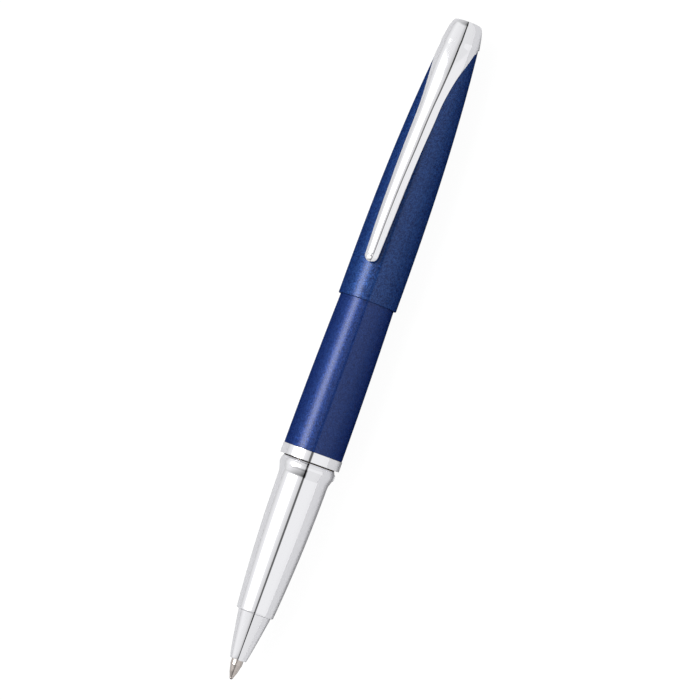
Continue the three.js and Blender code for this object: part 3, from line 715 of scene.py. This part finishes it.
def make_ball():
    centre = tip + BALL_RADIUS
    angles = spaced(0, math.pi, steps=32)[1:-1]
    side = [(centre - BALL_RADIUS * math.cos(a), BALL_RADIUS * math.sin(a)) for a in angles]
    points = [(tip, 0), *side, (centre + BALL_RADIUS, 0)]
    stand_for(turned("refill_ball_fine", points, BALL_SIDES), "refill_ball")


# ---- barrel ------------------------------------------------------------------------------


def make_trim_ring():
    bore = min(r for _, r in half_section("barrel_trim_ring"))
    corners = [
        (ring_front, ring_radius, RING_EDGE),
        (ring_end, ring_radius, RING_EDGE),
        (ring_end, bore, RING_BORE_EDGE),
        (ring_front, bore, RING_BORE_EDGE),
    ]
    stand_for(turned("barrel_trim_ring_fine", rounded(corners, steps=7)), "barrel_trim_ring")


def make_barrel_shell():
    outside = outline(barrel_radius, ring_end + SHELL_GAP, barrel_shell_end)
    inside = [(x, r - BARREL_WALL) for x, r in reversed(outside)]
    corners = corners_along(outside, first=SHELL_EDGE, last=SHELL_EDGE / 2)
    corners += corners_along(inside, first=SHELL_EDGE / 2, last=SHELL_EDGE / 2)
    stand_for(turned("barrel_shell_fine", rounded(corners)), "barrel_shell")


def make_barrel_end_plug():
    """A plug whose spigot is in the barrel, with a domed end that has a small flat."""
    rim = barrel_radius(barrel_shell_end)
    dome = barrel_shell_end + PART_GAP
    spigot = rim - BARREL_WALL - PART_GAP
    face = low_x("barrel_end_plug")
    points = [(face, 0), (face, spigot - PLUG_CHAMFER), (face + PLUG_CHAMFER, spigot)]
    points += [(dome, spigot), (dome, rim)]
    for a in spaced(0, math.pi / 2, steps=16)[1:]:
        x = dome + (barrel_end - dome) * math.sin(a)
        points.append((x, PLUG_FLAT_RADIUS + (rim - PLUG_FLAT_RADIUS) * math.cos(a)))
    points.append((barrel_end, 0))
    stand_for(turned("barrel_end_plug_fine", points), "barrel_end_plug")


# ---- cap ---------------------------------------------------------------------------------


def make_cap_shell():
    outside = outline(cap_radius, cap_mouth, cap_end)
    groove = cap_mouth + DOME_FROM_END + section_joint
    bore = cap_mouth_radius - CAP_WALL
    floor = bore + GROOVE_DEPTH
    inside = [(x, r - CAP_WALL) for x, r in reversed(outside) if x > groove + GROOVE_LAND]
    inside += [(groove + GROOVE_HALF_WIDTH, bore), (groove + GROOVE_HALF_FLOOR, floor)]
    inside += [(groove - GROOVE_HALF_FLOOR, floor), (groove - GROOVE_HALF_WIDTH, bore)]
    inside.append((cap_mouth, bore))
    corners = corners_along(outside, first=SHELL_EDGE, last=SHELL_EDGE / 2)
    corners += corners_along(inside, last=PLAIN_EDGE)
    fine = turned("cap_shell_fine", rounded(corners))
    stand_for(fine, "cap_shell", "cap_lacquer")


# ---- clip --------------------------------------------------------------------------------


def height_at(r, y):
    """How high a circle about the axis stands at a distance y to the side."""
    return math.sqrt(max(0, r * r - y * y))


class ClipSection:
    """One cross-section of the clip, as (across, up) points about the pen's axis."""

    steps = 32

    def __init__(self, x, top, half, base, edge_height):
        self.x, self.top, self.half, self.base = x, top, half, base
        self.edge = base + edge_height
        self.under_radius = cap_radius(x) + CLIP_CLEARANCE

    def outer(self):
        """An arc over the top, from edge to edge."""
        sag = self.top - self.edge
        radius = (self.half**2 + sag**2) / (2 * sag)
        centre = self.top - radius
        reach = math.atan2(self.half, self.edge - centre)
        angles = spaced(-reach, reach, self.steps)
        return [(radius * math.sin(a), centre + radius * math.cos(a)) for a in angles]

    def under(self):
        """Along the cap's curve, or flat at the base where that is higher."""
        across = [self.half * math.sin(a) for a in spaced(-math.pi / 2, math.pi / 2, self.steps)]
        return [(y, max(self.base, height_at(self.under_radius, y))) for y in across]


def clip_tip(last):
    """The sections that round the clip's tip, on from its last full one."""
    sections = []
    for turn in (math.radians(degrees) for degrees in CLIP_TIP_TURNS):
        top = last.top - CLIP_TIP_DROP * (1 - math.cos(turn))
        half = last.half * math.cos(turn) ** CLIP_TIP_BLUNT
        edge = min(CLIP_EDGE, top - last.base - CLIP_TIP_RISE)
        sections.append(ClipSection(last.x - last.half * math.sin(turn), top, half, last.base, edge))
    return sections


def clip_arm():
    """The sections from the crown's seat to where the tip begins."""
    at_seat = (0, CROWN_LIP_RADIUS - cap_radius(crown_seat), CROWN_LIP_RADIUS, 0)
    full_edge = CLIP_STATIONS[0][0]
    sections = []
    for d, over, half, lift in smooth_through([at_seat, *CLIP_STATIONS], steps=9):
        x = crown_seat - d
        base = height_at(cap_radius(x), half) + max(0, lift)
        edge = CLIP_EDGE * min(1, d / full_edge)
        sections.append(ClipSection(x, cap_radius(x) + over, half, base, edge))
    return sections


def crown_outline():
    """From the seat to the flat end, with a rounded rim."""
    side = outline(crown_radius, crown_seat, pen_end, steps=40)
    return rounded([*corners_along(side, last=CROWN_EDGE), (pen_end, 0, 0)], steps=9)


def add_row(bm, x, points):
    return [bm.verts.new(place(x, y, z)) for y, z in points]


def around(radius):
    """Points (across, up) all round a circle, from the -Y side over the top."""
    angles = [math.pi * (i / ClipSection.steps - 0.5) for i in range(2 * ClipSection.steps)]
    return [(radius * math.sin(a), radius * math.cos(a)) for a in angles]


def ring_row(bm, x, radius):
    return add_row(bm, x, around(radius) if radius > ZERO else [(0, 0)])


def add_arm(bm, sections):
    """The clip's top, underside and edges. Returns its rows of vertices at the crown."""
    overs = [add_row(bm, s.x, s.outer()) for s in sections]
    unders = [add_row(bm, s.x, s.under()) for s in sections]
    for rows in (overs, unders):
        for first, second in zip(rows, rows[1:]):
            for i in range(ClipSection.steps):
                bm.faces.new([first[i], first[i + 1], second[i + 1], second[i]])
    for side in (0, -1):
        rim = [(over[side], under[side]) for over, under in zip(overs, unders)]
        for (a, b), (c, d) in zip(rim, rim[1:]):
            bm.faces.new([a, c, d, b])
    bm.faces.new([*overs[-1], *reversed(unders[-1])])
    for side in (0, -1):
        unders[0][side].co = overs[0][side].co
    return overs[0], unders[0]


def add_crown(bm, first):
    """The crown's skin, from its first ring of vertices to the middle of its flat end."""
    add_loops(bm, [first, *(ring_row(bm, x, radius) for x, radius in crown_outline()[1:])])


def add_casting(bm):
    """Crown, saddle and clip as one closed skin, with the screw's hole in the crown's seat."""
    arm = clip_arm()
    over, under = add_arm(bm, [*arm, *clip_tip(arm[-1])])
    lower_half = add_row(bm, crown_seat, around(CROWN_LIP_RADIUS)[ClipSection.steps + 1 :])
    add_crown(bm, [*over, *lower_half])
    mouth = ring_row(bm, crown_seat, SCREW_HOLE_RADIUS)
    bottom = ring_row(bm, high_x("clip_screw") + SCREW_HOLE_PAST, SCREW_HOLE_RADIUS)
    add_loops(bm, [[*under, *lower_half], mouth, bottom])
    bm.faces.new(bottom)


def add_foot(bm):
    """The small ball under the clip's end, just over the cap."""
    x = clip_arm()[-1].x
    height = cap_radius(x) + FOOT_GAP + FOOT_RADIUS
    sides, rings = 32, 16
    loops = []
    for k in range(rings + 1):
        a = math.pi * k / rings
        flat = FOOT_RADIUS * math.sin(a)
        turns = [2 * math.pi * i / sides for i in range(sides if 0 < k < rings else 1)]
        level = height - FOOT_RADIUS * math.cos(a)
        loop = [place(x + flat * math.cos(turn), flat * math.sin(turn), level) for turn in turns]
        loops.append([bm.verts.new(point) for point in loop])
    add_loops(bm, loops)


def make_clip_casting():
    bm = bmesh.new()
    add_casting(bm)
    add_foot(bm)
    casting = finish_mesh(bm, "clip_casting_fine", CLIP_SHARP)
    bevel = casting.modifiers.new("edges", "BEVEL")
    bevel.limit_method = "ANGLE"
    bevel.angle_limit = math.radians(CLIP_SHARP)
    bevel.width = CLIP_BEVEL * MM
    bevel.segments = 2
    bevel.harden_normals = True
    stand_for(casting, "clip_casting")


# ---- springs and threads -----------------------------------------------------------------


COIL_STEPS = 28  # on each turn
COIL_SIDES = 12
CLOSED_TURNS = 0.9  # at each end of a spring
CLOSED_RISE = 0.14  # share of the spring's length that every turn rises alike, the closed ones too


def coil(name, start, end, radius, wire, turns):
    """A compression spring: closed end coils, open coils between."""
    bm = bmesh.new()
    loops = []
    for t in spaced(0, 1, int(turns * COIL_STEPS)):
        angle = t * turns * 2 * math.pi
        opened = share(t, CLOSED_TURNS / turns, 1 - 2 * CLOSED_TURNS / turns)
        x = lerp(start + wire, end - wire, lerp(opened, t, CLOSED_RISE))
        outward = Vector((0, math.sin(angle), math.cos(angle)))
        centre = place(x, 0, 0) + outward * radius * MM
        loop = []
        for i in range(COIL_SIDES):
            a = 2 * math.pi * i / COIL_SIDES
            offset = Vector((math.cos(a), 0, 0)) + outward * math.sin(a)
            loop.append(bm.verts.new(centre + offset * wire * MM))
        loops.append(loop)
    add_loops(bm, loops)
    bm.faces.new(loops[0])
    bm.faces.new(list(reversed(loops[-1])))
    return finish_mesh(bm, name)


def make_spring(node, radius, wire, turns):
    """A steel spring in the place of its CAD node, which is hidden; it stays fixed where it is built and
    is attached to no body.
    """
    low, high = low_x(node), high_x(node)
    spring = coil(node + "_fine", low, high, radius, wire, turns)
    spring.data.materials.append(MATERIALS["steel"])
    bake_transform(spring)
    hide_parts(node)


def dress_cad(node):
    """A CAD node whose own shape stays: smooth shading and its material."""
    mesh = frame["nodes"][node].data
    mesh.materials.clear()
    mesh.materials.append(MATERIALS[SLOT_OF[node]])
    mesh.set_sharp_from_angle(angle=math.radians(CAD_SHARP))


# ---- floor, light and camera -------------------------------------------------------------

VIEW_TURN = 19.2  # degrees that the camera stands to the -Y side of the clip's plane
VIEW_DISTANCE = 672.0
VIEW_FOOT = 48.35  # distance from the writing tip of the point straight below the camera
VIEW_LEAN = 19.91  # lean of the pen in the picture, clockwise from upright
LENS = 161.5

FLOOR_SIZE = 3.0  # metres from the middle to each side
FLOOR_COLOR = (0.52, 0.52, 0.525)  # as the pen mirrors it
PAPER_COLOR = (0.07, 0.07, 0.07)  # as the camera sees it, on top of its glow
PAPER_GLOW = 0.95

# radiance of the studio round the pen's axis: degrees from the camera's side towards +Y
STUDIO = [
    (-180, 0.45),
    (-90, 0.6),
    (-73, 0.84),
    (-45, 0.88),
    (-4.5, 0.88),
    (-3.9, 0.03),
    (4.2, 0.03),
    (4.8, 0.6),
    (24, 0.88),
    (76, 1.0),
    (92, 0.9),
    (107, 0.68),
    (125, 0.5),
    (180, 0.45),
]
# radiance that the strip light adds, by the same angle
STRIP = [(26, 0.1), (33, 2.4), (40, 7.5), (47, 10), (54, 8.8), (62, 4.0), (70, 1.0), (80, 0)]
# share of the strip light that is left, by how far a direction leans along the pen
STRIP_REACH = [(-0.29, 0), (-0.24, 1), (0.34, 1), (0.358, 0)]
# share of the soft light that dark cards beyond both ends of the pen take, by the same angle
CARD = [(-8, 0), (-5, 1), (9, 0.82), (24, 0.62), (60, 0.48), (95, 0.35), (115, 0)]
# share of that, by how far a direction leans along the pen
CARD_REACH = [(-0.9, 0), (-0.75, 0.8), (-0.6, 1), (-0.54, 0.75), (-0.4, 0), (0.6, 0), (0.72, 0.8)]


def table_ramp(tree, value, table, low, high):
    """The level from a table's (value, level) pairs, for a value that runs from low to high."""
    strongest = max(level for _, level in table)
    to_share = tree.nodes.new("ShaderNodeMapRange")
    to_share.inputs["From Min"].default_value = low
    to_share.inputs["From Max"].default_value = high
    tree.links.new(value, to_share.inputs["Value"])
    ramp = tree.nodes.new("ShaderNodeValToRGB")
    stops = ramp.color_ramp.elements
    while len(stops) < len(table):
        stops.new(0.5)
    for stop, (at, level) in zip(stops, table):
        stop.position = (at - low) / (high - low)
        stop.color = (level / strongest,) * 3 + (1,)
    tree.links.new(to_share.outputs[0], ramp.inputs["Fac"])
    return math_node(tree, "MULTIPLY", ramp.outputs["Color"], strongest)


def studio_light(tree):
    """Soft light round the pen less what the cards take, and the strip light."""
    coordinates = tree.nodes.new("ShaderNodeTexCoord")
    split = tree.nodes.new("ShaderNodeSeparateXYZ")
    tree.links.new(coordinates.outputs["Generated"], split.inputs[0])
    lean = split.outputs["X"]
    angle = math_node(tree, "ARCTAN2", split.outputs["Y"], split.outputs["Z"])
    degrees = math_node(tree, "MULTIPLY_ADD", angle, math.degrees(1), VIEW_TURN)
    soft = table_ramp(tree, degrees, STUDIO, -180, 180)
    card = table_ramp(tree, degrees, CARD, -180, 180)
    card_reach = table_ramp(tree, lean, CARD_REACH, -1, 1)
    left = math_node(tree, "SUBTRACT", 1.0, math_node(tree, "MULTIPLY", card, card_reach))
    strip = table_ramp(tree, degrees, STRIP, 20, 90)
    reach = table_ramp(tree, lean, STRIP_REACH, -1, 1)
    return math_node(tree, "MULTIPLY_ADD", strip, reach, math_node(tree, "MULTIPLY", soft, left))


def make_world():
    """The studio light, and plain white to the camera."""
    world = bpy.data.worlds.new("studio")
    world.use_nodes = True
    bpy.context.scene.world = world
    tree = world.node_tree
    background = tree.nodes["Background"]
    seen = tree.nodes.new("ShaderNodeLightPath")
    shown = tree.nodes.new("ShaderNodeMix")
    shown.data_type = "FLOAT"
    tree.links.new(seen.outputs["Is Camera Ray"], shown.inputs[0])
    tree.links.new(studio_light(tree), shown.inputs[2])
    shown.inputs[3].default_value = 1.0
    tree.links.new(shown.outputs[0], background.inputs["Strength"])
    background.inputs["Color"].default_value = (1, 1, 1, 1)


def make_floor():
    """A pale floor that looks white to the camera and keeps a faint shadow under the pen."""
    bm = bmesh.new()
    corners = [(-1, -1), (1, -1), (1, 1), (-1, 1)]
    bm.faces.new([bm.verts.new((x * FLOOR_SIZE, y * FLOOR_SIZE, 0)) for x, y in corners])
    floor = finish_mesh(bm, "floor")
    material, shader = new_material("floor", FLOOR_COLOR, roughness=0.9, metallic=0.0)
    shader.inputs["Specular IOR Level"].default_value = 0.0
    shader.inputs["Emission Color"].default_value = (1, 1, 1, 1)
    seen = add(material, "ShaderNodeLightPath")
    paper = add(material, "ShaderNodeMix", data_type="RGBA")
    paper.inputs[6].default_value = (*FLOOR_COLOR, 1)
    paper.inputs[7].default_value = (*PAPER_COLOR, 1)
    link(material, seen, "Is Camera Ray", paper, 0)
    link(material, paper, 2, shader, "Base Color")
    tree = material.node_tree
    glow = math_node(tree, "MULTIPLY", seen.outputs["Is Camera Ray"], PAPER_GLOW)
    tree.links.new(glow, shader.inputs["Emission Strength"])
    floor.data.materials.append(material)


def make_camera():
    """A camera over the pen, turned so that the pen leans in the picture as in the photo."""
    turn = math.radians(VIEW_TURN)
    away = Vector((0, -math.sin(turn), math.cos(turn)))
    eye = place(tip + VIEW_FOOT, 0, 0) + away * VIEW_DISTANCE * MM
    aim = place((tip + pen_end) / 2, 0, 0)
    forward = (aim - eye).normalized()
    along = (Vector((1, 0, 0)) - forward * forward.x).normalized()
    side = forward.cross(along)
    lean = math.radians(VIEW_LEAN)
    up = along * math.cos(lean) - side * math.sin(lean)
    right = forward.cross(up)
    data = bpy.data.cameras.new("camera")
    data.lens = LENS
    data.sensor_width = 36.0
    data.clip_start = 0.01
    camera = bpy.data.objects.new("camera", data)
    turn_to_view = Matrix((right, up, -forward)).transposed().to_4x4()
    camera.matrix_world = Matrix.Translation(eye) @ turn_to_view
    bpy.context.scene.collection.objects.link(camera)
    bpy.context.scene.camera = camera


make_camera()
make_world()
make_floor()
bpy.context.scene.view_settings.view_transform = "Standard"
bpy.context.scene.view_settings.look = "None"

make_nose_cone()
make_grip_shell()
make_o_ring()
make_refill_point()
make_ball()
make_trim_ring()
make_barrel_shell()
make_barrel_end_plug()
make_cap_shell()
make_clip_casting()
make_spring("refill_spring", radius=2.2, wire=0.22, turns=7)
make_spring("clip_spring", radius=1.45, wire=0.18, turns=5)
for node in (
    "refill_tube",
    "refill_holder",
    "refill_end_plug",
    "ink_charge",
    "ink_follower",
    "grip_liner",
    "cap_clutch_ring",
    "inner_cap",
    "cap_bridge",
    "clip_washer",
):
    stand_for(fine_copy(node), node)
for node in ("barrel_thread_bush", "section_thread_sleeve", "clip_screw"):
    dress_cad(node)
